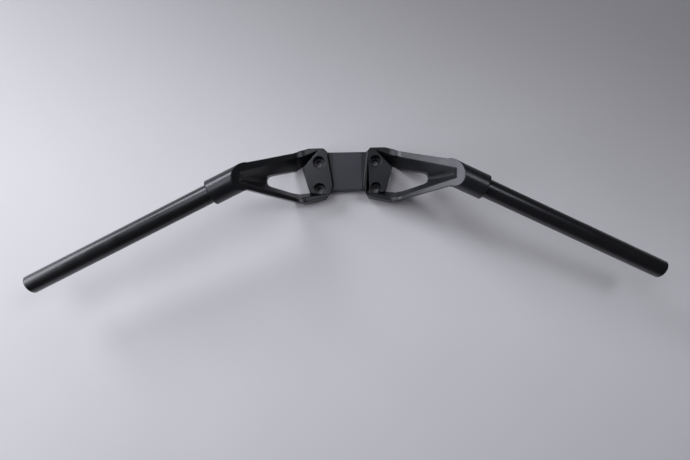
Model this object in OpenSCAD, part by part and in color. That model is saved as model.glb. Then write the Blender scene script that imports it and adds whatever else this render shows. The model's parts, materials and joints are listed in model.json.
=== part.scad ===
// Motorcycle handlebar made of one cast riser and two straight steel tubes.
// The riser bolts down on four screws, its two windowed arms climb outward, and each
// arm ends in a round collar that holds a tube swept back toward the rider.
// +X is the rider's right, +Y points forward and +Z up along the screws. The origin is
// the centre of the four screw holes on the riser's underside.

/* [Screw pads] */
// Height of the pads and of the arm walls at right angles to their rim
pad_h = 18; // [15:0.5:20]
// Distance between the left and right screw holes
bolt_dx = 74; // [70:0.5:76]
// Distance between the front and rear screw holes
bolt_dy = 35; // [32:0.5:37]
// Diameter of the screw holes
bolt_hole_d = 9; // [6.5:0.1:9.5]
// Diameter of the counterbores for the screw heads
head_d = 15; // [13:0.1:16]
// Depth of the counterbores
head_depth = 8.5; // [5:0.5:10]
// Length of the riser from its front edge to its rear corners
riser_len = 71; // [69:0.5:74]
// Half the gap between the pads at their front end
pad_gap_front = 25.7; // [24:0.1:27]
// Half the gap between the pads at their rear end
pad_gap_rear = 19.5; // [18:0.1:21]
// Size of the chamfer along each pad's inner top edge
pad_edge = 1.2; // [0.6:0.1:2]

/* [Bridge] */
// Thickness of the bridge between the pads
bridge_h = 12; // [9:0.5:13]
// Length of the bridge from front to rear
bridge_len = 49.4; // [46:0.2:52]
// Lean of the pads' inner walls down to the bridge, in degrees
bridge_wall_lean = 15; // [8:1:20]

/* [Arms] */
// Distance from the middle to where each arm starts to climb
bend_x = 64; // [62:0.5:66]
// Climb of the arms, in degrees
rise = 48; // [46:0.5:49]
// Lean of the arms' outer walls in toward the underside, in degrees
wall_draft = 4; // [2:0.5:6]
// Width of the rim along the arm's front rail
front_rim = 9; // [7:0.5:10]
// Width of the rim along the arm's rear rail
rear_rim = 6.3; // [5:0.1:7]
// Width of the rim around the arm's nose
nose_rim = 8; // [6:0.5:9]
// Radius of the rim's soft turn from the pad into the climb
bend_r = 22; // [15:0.5:24]
// Lean of the pocket's side walls, in degrees from upright
pocket_draft = 28; // [26:0.5:30]
// Lean of the pocket's outer end wall, in degrees from upright
pocket_end_draft = 4; // [0:1:10]
// Width of the narrow floor where the pocket's side walls meet
valley_w = 4.5; // [3:0.1:5.5]
// Radius of the rounded outer end of the window through the arm
window_end_r = 8; // [7:0.1:8.5]

/* [Collars] */
// Outer diameter of the collars
collar_d = 29.6; // [28:0.1:32]
// Distance from the middle to the centre of each collar's end face
collar_end_x = 161; // [156:0.5:166]
// Depth of the socket that each tube is pushed into
socket_depth = 25; // [20:0.5:27]
// Gap all round between the tube's spigot and the socket
socket_gap = 0.03; // [0.02:0.01:0.05]
// Size of the chamfer at the collar's mouth
collar_edge = 0.6; // [0.4:0.1:1.6]
// How far the arm's flanks stand in from the collar's sides
flank_inset = 0.6; // [0.5:0.1:3]

/* [Tubes] */
// Outer diameter of the tubes
tube_d = 22.2; // [21.8:0.1:22.6]
// Wall thickness of the tubes
tube_wall = 3; // [2:0.1:3.5]
// Height of the shoulder where each tube is turned down to a spigot for its socket
tube_shoulder = 0.3; // [0.2:0.05:0.6]
// Distance from the middle to the centre of each tube's outer end
tube_end_x = 385; // [360:1:410]
// Backward sweep of the tubes, in degrees
sweep = 24.5; // [20:0.5:28]
// Downward slope of the tubes toward their outer ends, in degrees
drop = 3.8; // [2:0.1:6]

/* [Hidden] */
$fn = 96;

spigot_r = tube_d / 2 - tube_shoulder;

far = 400;

// Each round turn bites this much into the flats beside it, so that it cuts them cleanly.
bite = 0.02;

// Plan corners of the right arm, in order, from the middle outward along the front.
front_y = riser_len / 2;
rear_y = -front_y;
corner_cut = 5;
flat_end_in = 14;
front_bend_in = [2, 3.3];
rear_corner_in = 3.5;
inner_rear_up = 23.4;
rear_cut = [8.5, 7.5];
inner_front = [pad_gap_front, front_y - corner_cut];
front_chamfer = [pad_gap_front + corner_cut, front_y];
front_flat_end = [bend_x - flat_end_in, front_y];
front_bend = [bend_x, front_y] - front_bend_in;
rear_corner = [bend_x - rear_corner_in, rear_y];
inner_rear = [pad_gap_rear, rear_y + inner_rear_up];
rear_chamfer = [pad_gap_rear, rear_y] + rear_cut;

// The collar's axis: the middle of its end face, the way it points and its sideways turn.
collar_r = collar_d / 2;
collar_reach = 27.5;
nose_x = collar_end_x - collar_reach;
nose_z = rim_z(nose_x);
collar_end_y = -30.7;
collar_end_z = nose_z - collar_r - collar_reach * tan(drop) / cos(sweep);
collar_end = [collar_end_x, collar_end_y, collar_end_z];
collar_side = [sin(sweep), cos(sweep)];

// Where the arm's flanks run into the collar, with the rim at the collar's axis height.
// From there the flanks taper in under the collar's round.
flank = collar_r - flank_inset;
keel_half = flank - 4;
taper_half = flank - 3;
taper_len = 8;
tip_x = nose_x - collar_r / tan(rise);
front_tip = collar_flank(tip_x, flank);
front_taper = collar_flank(tip_x + taper_len, taper_half);
rear_taper = collar_flank(tip_x + taper_len, -taper_half);
rear_tip = collar_flank(tip_x, -flank);

// Inner edge of the rim, first along the flat pad and then along the climbing arm.
pocket_end_x = nose_x - nose_rim;
pocket_end_half = 5.6;
pocket_tip = [bolt_dx / 2 + 1, front_y - 3];
rear_tip_rim = 3.5;
front_step = 1;
rear_step = 0.8;
pad_front_in = [bend_x, front_bend.y - front_step - front_rim];
pad_rear_in = [bend_x, rear_y + rear_rim];
pad_rear_near = rear_chamfer + [0, rear_tip_rim];
arm_front_in = pad_front_in + [0, front_step];
arm_front_far = [pocket_end_x, axis_y(pocket_end_x) + pocket_end_half];
arm_rear_far = [pocket_end_x, axis_y(pocket_end_x) - pocket_end_half];
arm_rear_in = pad_rear_in - [0, rear_step];

// Plan corners of the screw pad's plateau and of the window beside it.
plateau_front = [59, 9.2];
plateau_rear = [50.3, -21.6];
window_near = [45, 23];
window_front = [62.4, 12.9];
window_end = [94.2, -9.9];
window_rear_far = [73, -21.2];
window_rear = [45, -19.9];
// The window's front side runs from here straight into its round end.
window_side = window_end - window_front;
window_reach = window_end_r - bite;
window_turn = atan2(window_side.y, window_side.x) + asin(window_reach / norm(window_side));
window_shoulder = window_end + window_reach * [-sin(window_turn), cos(window_turn)];

// Height of the rim over a distance from the middle.
function rim_z(x) = pad_h + max(0, x - bend_x) * tan(rise);
// Fore and aft place of the collar's axis over a distance from the middle.
function axis_y(x) = collar_end_y + (collar_end_x - x) * tan(sweep);
// A plan point beside the collar's axis, a given way toward the front.
function collar_flank(x, side) = [x, axis_y(x - side * collar_side.x) + side * collar_side.y];
// A plan point lifted onto the rim.
function on_rim(p) = [p.x, p.y, rim_z(p.x)];
// A plan point lifted onto the climbing rim, or onto its straight run down below the pad.
function on_climb(p) = [p.x, p.y, pad_h + (p.x - bend_x) * tan(rise)];
function unit(v) = v / norm(v);
// Depth of the pocket's narrow floor under the rim over a distance from the middle.
function valley_depth(x) = (pocket_y(arm_front_in, arm_front_far, x)
    - pocket_y(arm_rear_in, arm_rear_far, x) - valley_w) / (2 * tan(pocket_draft));
// Fore and aft place of the rim edge from a to b over a distance from the middle.
function pocket_y(a, b, x) = a.y + (x - a.x) * (b.y - a.y) / (b.x - a.x);
// A point on the pocket's narrow floor over a distance from the middle.
function valley(x) = [x, axis_y(x), rim_z(x) - valley_depth(x)];

// All space on the side of the plane a, b, c from which those points turn to the left.
module half_space(a, b, c) {
    w = unit(cross(b - a, c - a));
    u = unit(b - a);
    v = cross(w, u);
    multmatrix([
        [u.x, v.x, w.x, a.x],
        [u.y, v.y, w.y, a.y],
        [u.z, v.z, w.z, a.z],
        [0, 0, 0, 1]
    ])
        translate([-far, -far, 0]) cube([2 * far, 2 * far, far]);
}

// The zero is the middle of the right collar's end face, z points outward, x down.
module at_collar_end() {
    translate(collar_end) rotate([0, 0, -sweep]) rotate([0, 90 + drop, 0]) children();
}

// Both sides of the mirror plane.
module both_sides() {
    children();
    mirror([1, 0, 0]) children();
}

// The right half's side view drawn out fore and aft, with its rim on top and a soft turn
// where the pad runs into the climb.
module under_the_rim(depth) {
    reach = 250;
    foot_x = bend_x + depth * tan(rise / 2);
    turn_len = bend_r * tan(rise / 2);
    turn_end = [bend_x, pad_h] + turn_len * [cos(rise), sin(rise)];
    middle = [bend_x - turn_len, pad_h + bend_r];
    translate([0, far / 2, 0]) rotate([90, 0, 0])
        linear_extrude(height = far)
            difference() {
                polygon([
                    [0, pad_h - depth],
                    [foot_x, pad_h - depth],
                    [foot_x + reach, pad_h - depth + reach * tan(rise)],
                    [bend_x + reach, rim_z(bend_x + reach)],
                    turn_end,
                    middle,
                    [middle.x, pad_h],
                    [0, pad_h]
                ]);
                translate(middle) circle(r = bend_r + bite);
            }
}

module arm_outline() {
    linear_extrude(height = rim_z(nose_x))
        polygon([
            inner_front, front_chamfer, front_flat_end, front_bend, front_tip, front_taper,
            rear_taper, rear_tip, rear_corner, rear_chamfer, inner_rear
        ]);
}

// The space between the climbing arm's outer walls, which lean in toward the underside.
// They start a skim inside the outline, so that they trim all of it cleanly.
module outer_walls() {
    skim = [0, 0.35];
    lean = tan(wall_draft);
    rear = on_climb(rear_corner + skim);
    front = on_climb(front_tip - skim);
    intersection() {
        half_space(rear, on_climb(rear_tip + skim), rear + [0, lean, -1]);
        half_space(front, on_climb(front_bend - skim), front + [0, -lean, -1]);
    }
}

// The round collar, and the keel that carries it down to the arm's underside.
module collar() {
    start_x = bend_x + 35;
    length = (collar_end_x - start_x) / cos(sweep);
    intersection() {
        at_collar_end() {
            translate([0, 0, -collar_edge])
                cylinder(r1 = collar_r, r2 = collar_r - collar_edge, h = collar_edge);
            translate([0, 0, -length])
                cylinder(r = collar_r, h = length - collar_edge);
        }
        under_the_rim(far / 2);
    }
    intersection() {
        at_collar_end()
            translate([0, -keel_half, -length])
                cube([2 * collar_r, 2 * keel_half, length - 1]);
        under_the_rim(pad_h);
    }
}

// The pad's inner wall, which leans from the pad's edge down onto the bridge.
module pad_wall() {
    top = [inner_front.x, inner_front.y, pad_h];
    fall = pad_h - bridge_h;
    foot = [4, 0];
    overlap = [2, 0];
    intersection() {
        linear_extrude(height = pad_h)
            polygon([
                inner_front - foot, inner_front + overlap,
                inner_rear + overlap, inner_rear - foot
            ]);
        half_space(
            top, [inner_rear.x, inner_rear.y, pad_h],
            top - [fall * tan(bridge_wall_lean), 0, fall]
        );
    }
}

// The chamfer cut along the pad's inner top edge.
module pad_edge_cut() {
    top = [inner_front.x + pad_edge, inner_front.y, pad_h];
    intersection() {
        half_space(
            [inner_rear.x + pad_edge, inner_rear.y, pad_h], top,
            top - [pad_edge, 0, pad_edge]
        );
        translate([0, -far / 2, pad_h - 2 * pad_edge]) cube([bend_x, far, far]);
    }
}

// The screw pad's plateau, which the pocket and the window stop at.
module plateau() {
    beyond = 4;
    translate([0, 0, -2]) linear_extrude(height = far)
        polygon([
            [-far, far], plateau_front + beyond * (pocket_tip - plateau_front), plateau_front,
            plateau_rear, plateau_rear + beyond * (pad_rear_near - plateau_rear), [-far, -far]
        ]);
}

// All space inside a pocket wall that falls from a rim edge from a to b, leaning inward.
module inside_wall(a, b, lean) {
    half_space(on_rim(a), on_rim(b), on_rim(a) + [lean.x, lean.y, -1]);
}

// The pocket inside the rim: a wall on each side before and after the bend, an end wall,
// and the narrow floor where the side walls draw together.
module pocket() {
    lean = tan(pocket_draft);
    near = valley(bend_x);
    intersection() {
        inside_wall(pad_front_in, pocket_tip, [0, -lean]);
        inside_wall(pad_rear_near, pad_rear_in, [0, lean]);
        inside_wall(arm_front_far, arm_front_in, [0, -lean]);
        inside_wall(arm_rear_in, arm_rear_far, [0, lean]);
        inside_wall(arm_rear_far, arm_front_far, [-tan(pocket_end_draft), 0]);
        half_space(near, valley(pocket_end_x), near + [0, 1, 0]);
    }
}

// The window through the arm, with a round outer end.
module window() {
    translate([0, 0, -1]) linear_extrude(height = far) {
        polygon([
            window_near, window_front, window_shoulder, window_end,
            window_end - [0, window_end_r], window_rear_far, window_rear
        ]);
        translate(window_end) circle(r = window_end_r);
    }
}

// What the arm's casting leaves hollow.
module hollow() {
    difference() {
        union() {
            pocket();
            window();
        }
        plateau();
    }
}

module screw_holes() {
    for (y = [-bolt_dy / 2, bolt_dy / 2])
        translate([bolt_dx / 2, y, 0]) {
            translate([0, 0, -1]) cylinder(d = bolt_hole_d, h = pad_h + 2);
            translate([0, 0, pad_h - head_depth]) cylinder(d = head_d, h = head_depth + 1);
        }
}

module socket() {
    at_collar_end()
        translate([0, 0, -socket_depth])
            cylinder(r = spigot_r + socket_gap, h = socket_depth + 1);
}

module riser_half() {
    difference() {
        union() {
            intersection() {
                arm_outline();
                outer_walls();
                under_the_rim(pad_h);
            }
            collar();
            pad_wall();
        }
        hollow();
        pad_edge_cut();
        screw_holes();
        socket();
    }
}

module bridge() {
    overlap = 2;
    front_lip = 0.7;
    width = 2 * (pad_gap_front + overlap);
    front = inner_front.y + front_lip;
    translate([-width / 2, front - bridge_len, 0]) cube([width, bridge_len, bridge_h]);
}

module riser() {
    color("#26272b") {
        both_sides() riser_half();
        bridge();
    }
}

module tube() {
    length = (tube_end_x - collar_end_x) / (cos(drop) * cos(sweep));
    color("#1b1c1f")
        at_collar_end()
            difference() {
                union() {
                    cylinder(d = tube_d, h = length);
                    translate([0, 0, -socket_depth]) cylinder(r = spigot_r, h = socket_depth + 1);
                }
                translate([0, 0, -socket_depth - 1])
                    cylinder(d = tube_d - 2 * tube_wall, h = length + socket_depth + 2);
            }
}

module tube_right() {
    tube();
}

module tube_left() {
    mirror([1, 0, 0]) tube();
}

riser();
tube_left();
tube_right();
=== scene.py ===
"""The finished looks of a one-piece handlebar riser with two grip tubes, built around its fixed frame."""

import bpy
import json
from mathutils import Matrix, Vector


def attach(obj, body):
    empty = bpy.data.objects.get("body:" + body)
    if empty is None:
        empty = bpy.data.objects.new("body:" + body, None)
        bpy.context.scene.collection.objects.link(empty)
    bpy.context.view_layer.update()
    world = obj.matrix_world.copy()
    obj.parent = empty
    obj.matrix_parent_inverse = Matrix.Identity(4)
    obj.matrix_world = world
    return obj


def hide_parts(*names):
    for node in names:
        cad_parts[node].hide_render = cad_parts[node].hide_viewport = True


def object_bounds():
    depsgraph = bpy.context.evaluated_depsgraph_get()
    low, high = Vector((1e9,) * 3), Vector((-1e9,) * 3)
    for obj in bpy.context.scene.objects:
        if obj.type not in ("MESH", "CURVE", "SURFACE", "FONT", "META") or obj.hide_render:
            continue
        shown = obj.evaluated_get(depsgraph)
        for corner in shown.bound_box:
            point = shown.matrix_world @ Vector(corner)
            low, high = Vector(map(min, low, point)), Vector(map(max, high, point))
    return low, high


bl_info = {
    "name": "Handlebar Riser",
    "version": (1, 0, 0),
    "blender": (4, 5, 0),
    "location": "3D View > Sidebar > Riser",
    "description": "Builds the riser casting, the grip tubes and a plain studio around a packed frame",
    "category": "Add Mesh",
}

import json
import math

import bmesh
import bpy
from mathutils import Matrix, Vector

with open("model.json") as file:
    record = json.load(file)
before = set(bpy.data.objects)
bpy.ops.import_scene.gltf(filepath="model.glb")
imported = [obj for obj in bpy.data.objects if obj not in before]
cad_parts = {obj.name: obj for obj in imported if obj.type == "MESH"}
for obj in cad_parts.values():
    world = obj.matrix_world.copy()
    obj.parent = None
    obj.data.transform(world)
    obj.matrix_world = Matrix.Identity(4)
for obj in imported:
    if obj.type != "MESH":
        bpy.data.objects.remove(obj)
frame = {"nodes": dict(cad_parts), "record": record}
cad_box = [list(corner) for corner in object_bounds()]
mounts = {mount["name"]: mount for mount in frame["record"]["mounts"]}

MM = 0.001
UP = Vector((0, 0, 1))
MERGE = 1e-6  # points closer than this are one point

# How the casting's corners are found
FLAT_TURN = math.radians(0.3)  # faces that turn by less than this are one flat
FLAT = 0.05 * MM  # how far a corner may lie from a flat and still be on it
ACROSS = math.radians(25)  # edges that turn by more than this run off from each other
BARELY_BENT = math.radians(5)  # an edge whose faces turn by less than this is no obstacle
HOLE_FACET = 1.0 * MM  # shorter corners are the facets of a hole's rim
BESIDE = 0.3  # how squarely another corner has to face this one to lie beside it

# How far they are rounded
ROOM_USED = 0.27  # the part of the room beside a corner that its rounding may take
HOLE_SHARE = 0.35  # the share of the full rounding that a hole's rim gets at most
LEAST_SHARE = 0.15  # a corner with room for less than this share stays sharp
LARGE_FACE_WEIGHT = 80  # how much the large faces lead the shading at a corner

# The tubes, whose sizes come from the mounts
GRIP_RADIUS = mounts["grip_right"]["dims"]["r_mm"] * MM
BORE_RADIUS = mounts["bar_end_right"]["dims"]["r_mm"] * MM
EXPOSED = mounts["grip_right"]["dims"]["length_mm"] * MM
WHOLE = mounts["bar_end_right"]["dims"]["length_mm"] * MM
SHOULDER = 0.3 * MM  # how much smaller the hidden spigot's radius is
LIP_STEPS = 4
TUBE_SHARP = math.radians(35)  # edges that turn by more than this are shaded as corners

# The satin black coat
COAT_IOR = 1.55
COAT_TINT = (0.94, 0.95, 1.0, 1)
COAT_CLOUDS = 45.0  # slow changes for each metre
COAT_SHADES = (0.82, 1.2)  # the darkest and palest of those changes, as shares of the colour
WORN_FROM, WORN_TO = 0.52, 0.62  # how pointed an edge is where the wear starts and where it is full
WORN_SHADE = 5  # a fully worn edge, as a share of the colour
GLOSS_FROM, GLOSS_TO = 0.3, 0.7  # the slow changes at which the coat is glossiest and dullest
GLOSSIER, DULLER = 0.04, 0.05  # how far the roughness falls and rises there
GRAIN_STRENGTH = 0.35
CASTING_GRAIN_DEPTH = 0.03 * MM
TUBE_GRAIN = 0.8 * MM
TUBE_GRAIN_DEPTH = 0.012 * MM
TUBE_WEAR = 0.1
# The band is a real machined face that also carries a painted reflection of the overhead light.
BAND_SOFTNESS = 0.3 * MM  # how far the milled band's edge fades to each side

# The floor, with shade painted in toward its far right, where the light falls off
FLOOR_RADIUS = 1.25
FLOOR_FACETS = 128
FLOOR_GAP = 0.2 * MM
FLOOR_ROUGHNESS = 0.6
FLOOR_CLOUDS = 6.0
FLOOR_SHADES = (0.97, 1.03)
# Painted shade: the floor is darkened toward its far right, along this turn and over this span of X, to
# this share of its colour, standing in for the light falling off there
PAINTED_SHADE_TURN = math.radians(-75)  # turns the floor's places so that X runs the way it darkens
PAINTED_SHADE_FROM, PAINTED_SHADE_TO = -0.16, 0.36
PAINTED_SHADE_SHARE = 0.25

# The light and the camera
LAMP_TINT = (0.93, 0.945, 1.0)
SURROUND_COLOUR = (0.8, 0.82, 0.9, 1)
BACKDROP_COLOUR = (0.8, 0.8, 0.84, 1)
SENSOR_WIDTH = 36
NEAREST_SEEN = 0.01


# What a user may change


class CastingSettings(bpy.types.PropertyGroup):
    edge_round: bpy.props.FloatProperty(
        name="Edge rounding", description="How far each rounded edge reaches into its faces",
        default=0.9 * MM, min=0.0, max=2 * MM, unit="LENGTH")
    edge_steps: bpy.props.IntProperty(
        name="Edge steps", description="How many faces round each edge", default=3, min=1, max=6)
    sharp_from: bpy.props.FloatProperty(
        name="Round from", description="Edges that turn by more than this are rounded",
        default=math.radians(18), subtype="ANGLE")
    colour: bpy.props.FloatVectorProperty(
        name="Colour", description="Colour of the satin black finish",
        default=(0.012, 0.0125, 0.0145), subtype="COLOR", min=0, max=1)
    # The bridge's band is partly a real machined face and partly a painted reflection: its paler, bluish
    # colour stands in for the overhead light that the flat bridge reflects.
    bridge_half: bpy.props.FloatProperty(
        name="Bridge half width", description="Half the width of the bridge's paler milled band",
        default=18.5 * MM, unit="LENGTH")
    bridge_colour_and_sheen: bpy.props.FloatVectorProperty(
        name="Bridge colour", description="Colour of the bridge's milled band",
        default=(0.044, 0.045, 0.054), subtype="COLOR", min=0, max=1)
    roughness: bpy.props.FloatProperty(
        name="Roughness", description="How dull the finish is", default=0.32, min=0, max=1)
    grain: bpy.props.FloatProperty(
        name="Grain", description="Size of the blasted grain", default=0.45 * MM, unit="LENGTH")
    wear: bpy.props.FloatProperty(
        name="Edge wear", description="How much paler the rubbed edges are", default=0.25, min=0, max=1)


class TubeSettings(bpy.types.PropertyGroup):
    lip_round: bpy.props.FloatProperty(
        name="Lip rounding", description="Rounding of the tube's open end", default=0.6 * MM, unit="LENGTH")
    facets: bpy.props.IntProperty(
        name="Facets", description="Faces round each tube", default=96, min=24, max=256)
    colour: bpy.props.FloatVectorProperty(
        name="Colour", description="Colour of the tubes' black coat",
        default=(0.009, 0.009, 0.0105), subtype="COLOR", min=0, max=1)
    roughness: bpy.props.FloatProperty(
        name="Roughness", description="How dull the coat is", default=0.3, min=0, max=1)


class StudioSettings(bpy.types.PropertyGroup):
    floor_colour: bpy.props.FloatVectorProperty(
        name="Floor colour", description="Colour of the plain pale floor",
        default=(0.86, 0.845, 0.875), subtype="COLOR", min=0, max=1)
    # Painted shade: how far the floor's colour is darkened toward its far right, standing in for the light
    # falling off there.
    floor_painted_shade: bpy.props.FloatProperty(
        name="Floor fade", description="How much darker the floor grows toward its far right",
        default=0.82, min=0, max=1)
    side_light: bpy.props.FloatProperty(
        name="Side light", description="Power of the large soft lamp beside the left tube",
        default=41.0, unit="POWER")
    top_light: bpy.props.FloatProperty(
        name="Top light", description="Power of the large soft lamp overhead", default=6.8, unit="POWER")
    key_light: bpy.props.FloatProperty(
        name="Key light", description="Power of the soft lamp ahead and to the left",
        default=18.0, unit="POWER")
    accent_light: bpy.props.FloatProperty(
        name="Accent light", description="Power of the small soft lamp ahead and to the right",
        default=2.6, unit="POWER")
    surround: bpy.props.FloatProperty(
        name="Surround", description="Strength of the even light from all round", default=0.06, min=0)
    backdrop: bpy.props.FloatProperty(
        name="Backdrop", description="How pale the surround looks behind the floor", default=0.45, min=0)
    lens: bpy.props.FloatProperty(
        name="Lens", description="Focal length on a 36 mm sensor", default=22.9)
    framing: bpy.props.FloatVectorProperty(
        name="Framing", description="How far the picture is cut off-centre, as a share of its width",
        size=2, default=(-0.0098, 0.0847))
    camera_place: bpy.props.FloatVectorProperty(
        name="Camera place", description="Where the camera stands",
        default=(-0.01067, -0.12599, 0.59853), subtype="TRANSLATION")
    camera_turn: bpy.props.FloatVectorProperty(
        name="Camera turn", description="How the camera is turned, from looking straight down",
        default=(math.radians(-2.216), math.radians(-1.296), math.radians(-1.393)), subtype="EULER")


# Shared helpers


def place_mesh(name, shape, material):
    """Turns a bmesh into a new object at the origin, with its material."""
    mesh = bpy.data.meshes.new(name)
    shape.to_mesh(mesh)
    shape.free()
    mesh.materials.append(material)
    placed = bpy.data.objects.new(name, mesh)
    bpy.context.scene.collection.objects.link(placed)
    return placed


def new_piece(name, shape, material):
    """Makes a finished piece, with its material, that rides on the part's one body."""
    piece = place_mesh(name, shape, material)
    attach(piece, "root")
    return piece


def tinted(colour, share=1.0):
    """A colour made darker or paler by a share, with the opacity that a socket asks for."""
    return (*[min(1.0, channel * share) for channel in colour], 1)


class ShaderNodes:
    """Short calls that add and join the nodes of a new material or world."""

    def __init__(self, owner):
        owner.use_nodes = True
        self.nodes = owner.node_tree.nodes
        self.nodes.clear()
        self.join = owner.node_tree.links.new

    def add(self, kind, **values):
        """Adds a node and sets its options, or its sockets, by name."""
        node = self.nodes.new(kind)
        for name, value in values.items():
            if hasattr(node, name):
                setattr(node, name, value)
            else:
                node.inputs[name.replace("_", " ")].default_value = value
        return node

    def noise(self, place, scale, detail, roughness=0.5):
        """Soft clouds of values from 0 to 1."""
        node = self.add("ShaderNodeTexNoise", Scale=scale, Detail=detail, Roughness=roughness)
        self.join(place, node.inputs["Vector"])
        return node.outputs["Fac"]

    def ramp(self, value, start, end, low=0.0, high=1.0, curve="LINEAR"):
        """Runs from low to high while a value runs from start to end, and holds both ends."""
        node = self.add(
            "ShaderNodeMapRange", interpolation_type=curve, clamp=True,
            From_Min=start, From_Max=end, To_Min=low, To_Max=high)
        self.join(value, node.inputs["Value"])
        return node.outputs["Result"]

    def mix(self, factor, under, over):
        """Lays a fixed colour over a fixed or joined one."""
        node = self.add("ShaderNodeMix", data_type="RGBA", B=over)
        if isinstance(under, tuple):
            node.inputs["A"].default_value = under
        else:
            self.join(under, node.inputs["A"])
        self.join(factor, node.inputs["Factor"])
        return node.outputs["Result"]

    def part(self, place, axis):
        """One coordinate of a place."""
        node = self.add("ShaderNodeSeparateXYZ")
        self.join(place, node.inputs["Vector"])
        return node.outputs[axis]


def satin_black(name, colour, roughness, grain, grain_depth, wear, milled_sheen=None):
    """A satin black coat: fine blasted grain, slow changes of gloss, and edges rubbed paler.

    A machined band, given as its half width and colour, lies across the middle; its paler colour is also a
    painted reflection of the overhead light.
    """
    material = bpy.data.materials.new(name)
    shader = ShaderNodes(material)
    output = shader.add("ShaderNodeOutputMaterial")
    surface = shader.add("ShaderNodeBsdfPrincipled", IOR=COAT_IOR, Specular_Tint=COAT_TINT)
    shader.join(surface.outputs["BSDF"], output.inputs["Surface"])

    place = shader.add("ShaderNodeTexCoord").outputs["Object"]
    clouds = shader.noise(place, COAT_CLOUDS, detail=4.0, roughness=0.55)
    grains = shader.noise(place, 1.0 / grain, detail=3.0, roughness=0.6)

    darkest, palest = (tinted(colour, share) for share in COAT_SHADES)
    coat = shader.mix(clouds, darkest, palest)
    pointed = shader.add("ShaderNodeNewGeometry").outputs["Pointiness"]
    patchy = shader.add("ShaderNodeMath", operation="MULTIPLY")
    shader.join(shader.ramp(pointed, WORN_FROM, WORN_TO, high=wear), patchy.inputs[0])
    shader.join(clouds, patchy.inputs[1])
    coat = shader.mix(patchy.outputs["Value"], coat, tinted(colour, WORN_SHADE))
    # Painted reflection: the band's paler colour stands in for the overhead light that the flat face
    # reflects, on top of the real machined face.
    if milled_sheen:
        half_width, milled_sheen_colour = milled_sheen
        aside = shader.add("ShaderNodeMath", operation="ABSOLUTE")
        shader.join(shader.part(place, "X"), aside.inputs[0])
        band = shader.ramp(aside.outputs["Value"], half_width + BAND_SOFTNESS, half_width - BAND_SOFTNESS)
        coat = shader.mix(band, coat, tinted(milled_sheen_colour))
    shader.join(coat, surface.inputs["Base Color"])

    gloss = shader.ramp(clouds, GLOSS_FROM, GLOSS_TO, roughness - GLOSSIER, roughness + DULLER)
    shader.join(gloss, surface.inputs["Roughness"])
    bump = shader.add("ShaderNodeBump", Strength=GRAIN_STRENGTH, Distance=grain_depth)
    shader.join(grains, bump.inputs["Height"])
    shader.join(bump.outputs["Normal"], surface.inputs["Normal"])
    return material


# The casting


class RISER_OT_casting(bpy.types.Operator):
    """Rounds the edges of a copy of the riser and gives it its satin black finish"""

    bl_idname = "riser.casting"
    bl_label = "Riser casting"

    def execute(self, context):
        settings = context.scene.riser_casting
        # The node's mesh is loose triangles, which are joined into whole flats first
        shape = bmesh.new()
        shape.from_mesh(frame["nodes"]["riser"].data)
        bmesh.ops.remove_doubles(shape, verts=shape.verts, dist=MERGE)
        bmesh.ops.dissolve_limit(
            shape, angle_limit=FLAT_TURN, verts=shape.verts, edges=shape.edges, delimit=set())
        share_out_rounding(shape, settings)
        for face in shape.faces:
            face.smooth = True
        # The band over the bridge gets a paler colour, partly a painted reflection of the overhead light.
        material = satin_black(
            "riser_satin_black", settings.colour, settings.roughness,
            grain=settings.grain, grain_depth=CASTING_GRAIN_DEPTH, wear=settings.wear,
            milled_sheen=(settings.bridge_half, settings.bridge_colour_and_sheen))
        casting = new_piece("riser_casting", shape, material)
        rounding = casting.modifiers.new("rounded edges", "BEVEL")
        rounding.limit_method = "WEIGHT"
        rounding.width = settings.edge_round
        rounding.segments = settings.edge_steps
        rounding.profile = 0.5
        rounding.use_clamp_overlap = False
        even = casting.modifiers.new("even shading", "WEIGHTED_NORMAL")
        even.weight = LARGE_FACE_WEIGHT
        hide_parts("riser")
        return {"FINISHED"}


def share_out_rounding(shape, settings):
    """Gives each corner as much of the full rounding as it has room for, so that none overlap."""
    share = shape.edges.layers.float.new("bevel_weight_edge")
    corners = [edge for edge in shape.edges
               if len(edge.link_faces) == 2 and edge.calc_face_angle(0) > settings.sharp_from]
    for corner in corners:
        room = min(1.0, ROOM_USED * room_beside(corner, corners) / settings.edge_round)
        if corner.calc_length() < HOLE_FACET:
            room = min(room, HOLE_SHARE)
        elif runs_into_hole(corner, corners):
            room = 0.0
        corner[share] = room if room > LEAST_SHARE else 0.0


def lies_across(edge, other):
    """Whether two edges run off from each other at a clear angle."""
    ways = [line.verts[1].co - line.verts[0].co for line in (edge, other)]
    turn = ways[0].angle(ways[1])
    return min(turn, math.pi - turn) > ACROSS


def runs_into_hole(edge, corners):
    """Whether a corner ends at a hole's rim, other than by running smoothly along it."""
    return any(
        other.calc_length() < HOLE_FACET and set(other.verts) & set(edge.verts) and lies_across(edge, other)
        for other in corners)


def room_beside(edge, corners):
    """How far a corner's surroundings reach before something is in the way of its rounding."""
    return min([*neighbour_lengths(edge), *flat_reaches(edge, corners)], default=math.inf)


def neighbour_lengths(edge):
    """The lengths of the bent edges that run off from a corner's two ends."""
    for other in (other for vert in edge.verts for other in vert.link_edges if other is not edge):
        if lies_across(edge, other) and other.calc_face_angle(0) > BARELY_BENT:
            yield other.calc_length()


def flat_reaches(edge, corners):
    """How far the flats beside a corner reach, from its middle to each other corner on them."""
    start, end = (vert.co for vert in edge.verts)
    middle = (start + end) / 2
    for face in edge.link_faces:
        inward = face.normal.cross(end - start).normalized()
        if inward.dot(face.calc_center_median() - middle) < 0:
            inward = -inward
        for other in corners:
            if other is edge or any(
                    abs(face.normal.dot(vert.co - middle)) > FLAT for vert in other.verts):
                continue
            a, b = (vert.co for vert in other.verts)
            along = min(1.0, max(0.0, (middle - a).dot(b - a) / (b - a).length_squared))
            way = a + (b - a) * along - middle
            if way.dot(inward) > BESIDE * way.length:
                yield way.length


# The tubes


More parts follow.
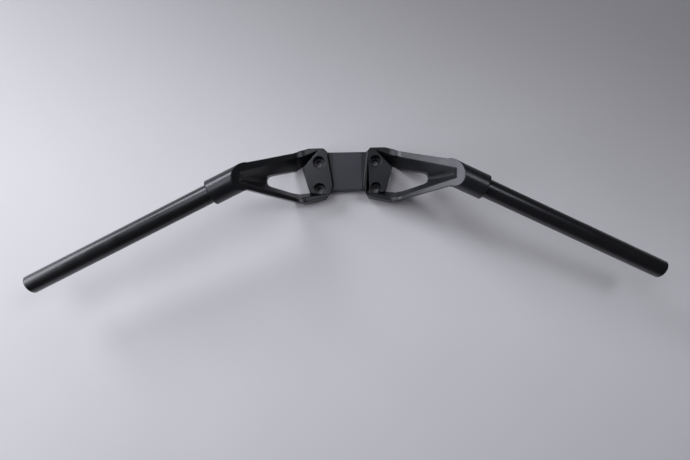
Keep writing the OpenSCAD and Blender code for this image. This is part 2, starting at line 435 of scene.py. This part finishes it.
class RISER_OT_tubes(bpy.types.Operator):
    """Makes both grip tubes with open, softly rounded ends and their black coat"""

    bl_idname = "riser.tubes"
    bl_label = "Grip tubes"

    def execute(self, context):
        settings = context.scene.riser_tubes
        material = satin_black(
            "tube_satin_black", settings.colour, settings.roughness,
            grain=TUBE_GRAIN, grain_depth=TUBE_GRAIN_DEPTH, wear=TUBE_WEAR)
        for side in ("left", "right"):
            grip = mounts[f"grip_{side}"]
            axis = Vector(grip["axis"]).normalized()
            tip = Vector(grip["pos_m"]) + axis * EXPOSED / 2
            shape = tube_shape(settings)
            bmesh.ops.transform(
                shape, matrix=Matrix.Translation(tip) @ UP.rotation_difference(axis).to_matrix().to_4x4(),
                verts=shape.verts)
            tube = new_piece(f"grip_tube_{side}", shape, material)
            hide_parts(f"tube_{side}")
        return {"FINISHED"}


def tube_shape(settings):
    """A tube along Z whose open end is at the origin: its wall's outline, spun once round."""
    lip = settings.lip_round
    spigot = GRIP_RADIUS - SHOULDER
    turns = [math.pi / 2 * step / LIP_STEPS for step in range(LIP_STEPS + 1)]
    wall = [(BORE_RADIUS, -WHOLE), (spigot, -WHOLE), (spigot, -EXPOSED), (GRIP_RADIUS, -EXPOSED),
            (GRIP_RADIUS, -lip)]
    wall += [(GRIP_RADIUS - lip + lip * math.cos(turn), -lip + lip * math.sin(turn))
             for turn in turns[1:]]
    wall += [(BORE_RADIUS + lip - lip * math.sin(turn), -lip + lip * math.cos(turn)) for turn in turns]
    shape = bmesh.new()
    ring = [shape.verts.new((radius, 0, height)) for radius, height in wall]
    outline = [shape.edges.new((ring[i], ring[(i + 1) % len(ring)])) for i in range(len(ring))]
    bmesh.ops.spin(
        shape, geom=ring + outline, cent=(0, 0, 0), axis=(0, 0, 1), angle=2 * math.pi,
        steps=settings.facets, use_merge=True)
    bmesh.ops.remove_doubles(shape, verts=shape.verts, dist=MERGE)
    bmesh.ops.recalc_face_normals(shape, faces=shape.faces)
    for face in shape.faces:
        face.smooth = True
    for edge in shape.edges:
        edge.smooth = edge.calc_face_angle(0) < TUBE_SHARP
    return shape


# The stage


class RISER_OT_studio(bpy.types.Operator):
    """Sets the plain pale floor, the soft lamps and the camera"""

    bl_idname = "riser.studio"
    bl_label = "Studio"

    def execute(self, context):
        settings = context.scene.riser_studio
        lay_floor(settings)
        soft_lamp(
            "side_lamp", settings.side_light,
            place=(-2.3, 0.15, 0.75), aim=(0.0, 0.0, 0.1), size=(2.2, 0.9))
        soft_lamp(
            "key_lamp", settings.key_light,
            place=(-1.35, 1.35, 1.0), aim=(-0.2, 0.0, 0.05), size=(0.8, 0.7))
        soft_lamp(
            "top_lamp", settings.top_light,
            place=(-0.62, 0.4, 1.5), aim=(0.0, 0.0, 0.03), size=(1.0, 0.9))
        soft_lamp(
            "accent_lamp", settings.accent_light,
            place=(0.75, 0.32, 1.25), aim=(0.0, 0.0, 0.03), size=(0.4, 0.4))
        context.scene.world = pale_surround(settings)
        context.scene.view_settings.view_transform = "Standard"
        set_camera(context.scene, settings)
        return {"FINISHED"}


def lay_floor(settings):
    """A wide round floor just under the riser's seat."""
    shape = bmesh.new()
    bmesh.ops.create_circle(shape, cap_ends=True, segments=FLOOR_FACETS, radius=FLOOR_RADIUS)
    bmesh.ops.translate(shape, vec=(0, 0, cad_box[0][2] - FLOOR_GAP), verts=shape.verts)
    floor = place_mesh("floor", shape, pale_floor(settings))


def pale_floor(settings):
    """A plain pale sheet that is a little uneven, with shade painted in toward its far right where the
    light falls off.
    """
    material = bpy.data.materials.new("pale_floor")
    shader = ShaderNodes(material)
    output = shader.add("ShaderNodeOutputMaterial")
    surface = shader.add("ShaderNodeBsdfPrincipled", Roughness=FLOOR_ROUGHNESS)
    place = shader.add("ShaderNodeTexCoord").outputs["Object"]
    darkest, palest = (tinted(settings.floor_colour, share) for share in FLOOR_SHADES)
    sheet = shader.mix(shader.noise(place, FLOOR_CLOUDS, detail=3.0), darkest, palest)
    # Painted shade, standing in for the light that falls off toward the far right
    across = shader.add("ShaderNodeMapping", Rotation=(0, 0, PAINTED_SHADE_TURN))
    shader.join(place, across.inputs["Vector"])
    painted_shade = shader.ramp(
        shader.part(across.outputs["Vector"], "X"), PAINTED_SHADE_FROM, PAINTED_SHADE_TO, high=settings.floor_painted_shade,
        curve="SMOOTHSTEP")
    sheet = shader.mix(painted_shade, sheet, tinted(settings.floor_colour, PAINTED_SHADE_SHARE))
    shader.join(sheet, surface.inputs["Base Color"])
    shader.join(surface.outputs["BSDF"], output.inputs["Surface"])
    return material


def pale_surround(settings):
    """An even, dim light from all round that looks pale to the camera alone."""
    world = bpy.data.worlds.new("pale_surround")
    shader = ShaderNodes(world)
    output = shader.add("ShaderNodeOutputWorld")
    lighting = shader.add("ShaderNodeBackground", Color=SURROUND_COLOUR, Strength=settings.surround)
    seen = shader.add("ShaderNodeBackground", Color=BACKDROP_COLOUR, Strength=settings.backdrop)
    ray = shader.add("ShaderNodeLightPath")
    either = shader.add("ShaderNodeMixShader")
    shader.join(ray.outputs["Is Camera Ray"], either.inputs["Fac"])
    shader.join(lighting.outputs["Background"], either.inputs[1])
    shader.join(seen.outputs["Background"], either.inputs[2])
    shader.join(either.outputs["Shader"], output.inputs["Surface"])
    return world


def soft_lamp(name, power, place, aim, size):
    """A large soft rectangular lamp that faces the point it is aimed at."""
    data = bpy.data.lights.new(name, "AREA")
    data.shape = "RECTANGLE"
    data.size, data.size_y = size
    data.energy = power
    data.color = LAMP_TINT
    lamp = bpy.data.objects.new(name, data)
    lamp.location = place
    lamp.rotation_mode = "QUATERNION"
    lamp.rotation_quaternion = (Vector(aim) - Vector(place)).to_track_quat("-Z", "Y")
    bpy.context.scene.collection.objects.link(lamp)


def set_camera(scene, settings):
    """The camera that looks down on the riser as the photograph does."""
    camera = bpy.data.objects.new("photo_camera", bpy.data.cameras.new("photo_camera"))
    camera.data.sensor_width = SENSOR_WIDTH
    camera.data.lens = settings.lens
    camera.data.shift_x, camera.data.shift_y = settings.framing
    camera.data.clip_start = NEAREST_SEEN
    camera.location = settings.camera_place
    camera.rotation_euler = settings.camera_turn
    scene.collection.objects.link(camera)
    scene.camera = camera


# The add-on


class RISER_PT_panel(bpy.types.Panel):
    """Lists the pieces and their settings"""

    bl_label = "Handlebar Riser"
    bl_idname = "RISER_PT_panel"
    bl_space_type = "VIEW_3D"
    bl_region_type = "UI"
    bl_category = "Riser"

    def draw(self, context):
        for part in ("casting", "tubes", "studio"):
            box = self.layout.box()
            settings = getattr(context.scene, f"riser_{part}")
            for name in settings.__annotations__:
                box.prop(settings, name)
            box.operator(f"riser.{part}")


CLASSES = (
    CastingSettings, TubeSettings, StudioSettings, RISER_OT_casting, RISER_OT_tubes, RISER_OT_studio,
    RISER_PT_panel,
)


def register():
    for cls in CLASSES:
        bpy.utils.register_class(cls)
    bpy.types.Scene.riser_casting = bpy.props.PointerProperty(type=CastingSettings)
    bpy.types.Scene.riser_tubes = bpy.props.PointerProperty(type=TubeSettings)
    bpy.types.Scene.riser_studio = bpy.props.PointerProperty(type=StudioSettings)


def unregister():
    del bpy.types.Scene.riser_studio
    del bpy.types.Scene.riser_tubes
    del bpy.types.Scene.riser_casting
    for cls in reversed(CLASSES):
        bpy.utils.unregister_class(cls)


def main():
    register()
    bpy.ops.riser.casting()
    bpy.ops.riser.tubes()
    bpy.ops.riser.studio()


if __name__ == "__main__":
    main()
